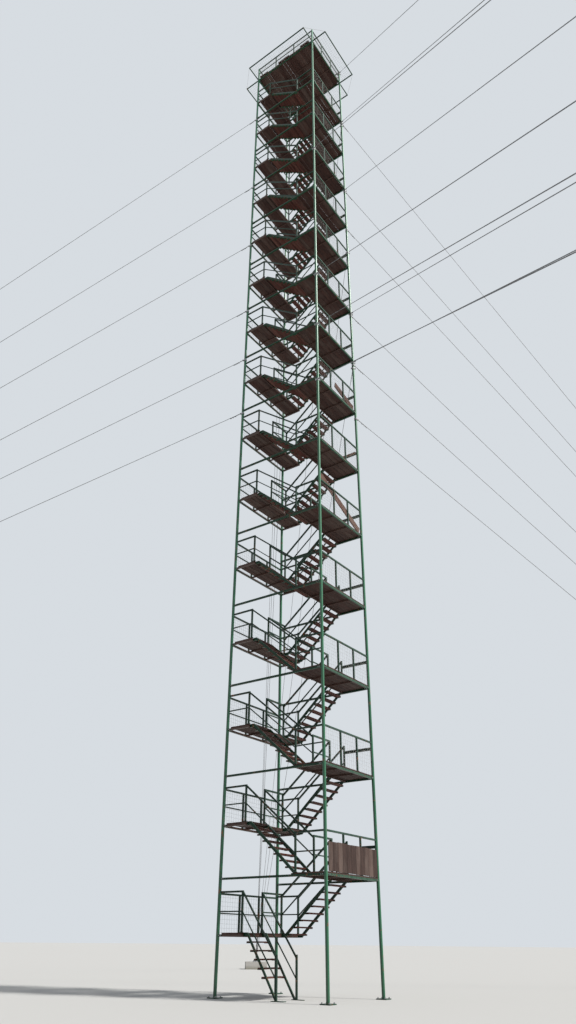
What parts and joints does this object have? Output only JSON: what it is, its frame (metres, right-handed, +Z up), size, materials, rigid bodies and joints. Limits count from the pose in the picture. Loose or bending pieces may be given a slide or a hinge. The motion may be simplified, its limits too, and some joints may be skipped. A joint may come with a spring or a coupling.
{
  "type": "fire lookout tower, half-size model",
  "caption": "Slender guyed steel lookout tower on round legs, with a dog-leg timber stair, half-landings, rails, a boarded top deck and anchored cables.",
  "frame": {"origin": "under the foot plate of the near leg, on the leg's axis", "axes": "+Z is up; the left leg stands at -X and the right leg at +Y of the near leg"},
  "size_m": [22.4606, 21.1298, 21.974],
  "materials": {
    "legs": "weathered green gloss paint",
    "frame": "weathered green paint",
    "rails": "weathered green paint",
    "decks": "dark reddish-brown stain",
    "treads": "reddish-brown stain",
    "planks": "faded reddish-brown stain",
    "cable": "dull galvanised strand",
    "fittings": "dull galvanised",
    "concrete": "cast concrete"
  },
  "bodies": {
    "root": {"leg_near": "legs", "leg_left": "legs", "leg_right": "legs", "leg_back": "legs", "leg_caps": "legs", "foot_plates": "frame", "front_beams": "frame", "back_beams": "frame", "right_landing_frames": "frame", "left_landing_frames": "frame", "right_landing_decks": "decks", "left_landing_decks": "decks", "top_frame": "frame", "top_deck": "decks", "deck_joists": "decks", "front_stringers": "frame", "back_stringers": "frame", "stair_feet": "frame", "front_treads_low": "treads", "front_treads_mid": "treads", "front_treads_high": "treads", "back_treads_low": "treads", "back_treads_mid": "treads", "back_treads_high": "treads", "right_end_guards": "rails", "left_end_guards": "rails", "front_landing_guards": "rails", "back_landing_guards": "rails", "well_guards": "rails", "front_stair_rails": "rails", "back_stair_rails": "rails", "front_inner_rails": "rails", "back_inner_rails": "rails", "top_guard": "rails", "net_outriggers": "rails", "boarded_guard": "planks", "leaning_planks": "planks", "guy_collars": "fittings", "guys_near": "cable", "guys_left": "cable", "guys_right": "cable", "guys_back": "cable", "anchor_plates": "fittings", "anchor_blocks": "concrete"}
  },
  "joints": []
}
